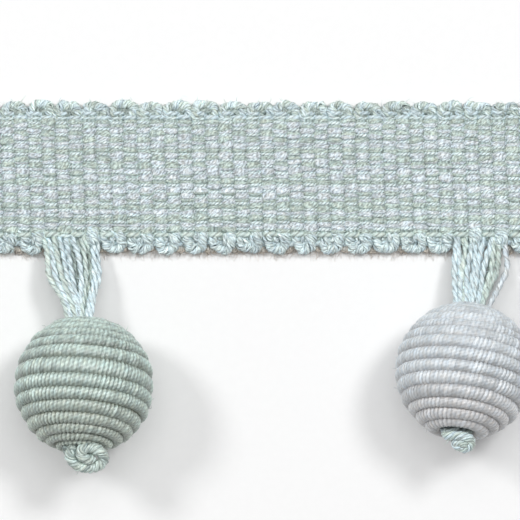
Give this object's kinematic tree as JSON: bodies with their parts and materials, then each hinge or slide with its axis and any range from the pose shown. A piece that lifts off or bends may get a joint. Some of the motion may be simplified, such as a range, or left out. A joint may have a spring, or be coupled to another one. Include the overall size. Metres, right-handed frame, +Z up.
{
  "type": "beaded fringe trim",
  "caption": "Ribbed braid trim with looped edges and yarn skeins hanging from it, each threaded through a cord-wound ball and knotted below.",
  "frame": {"origin": "middle of the heading's flat back, halfway between the drops", "axes": "+X along the heading, +Y from the balls to the heading, +Z up from the surface that the trim lies on"},
  "size_m": [0.1132, 0.0517, 0.0188],
  "materials": {
    "heading_yarn": "soft yarn with a faint sheen",
    "skein_yarn": "twisted yarn with a soft sheen",
    "sage_gimp": "fine thread wrapped on cord, soft sheen",
    "lilac_gimp": "fine thread wrapped on cord, soft sheen"
  },
  "bodies": {
    "root": {"heading": "heading_yarn", "skein_sage": "skein_yarn", "ball_sage": "sage_gimp", "skein_lilac": "skein_yarn", "ball_lilac": "lilac_gimp"}
  },
  "joints": []
}
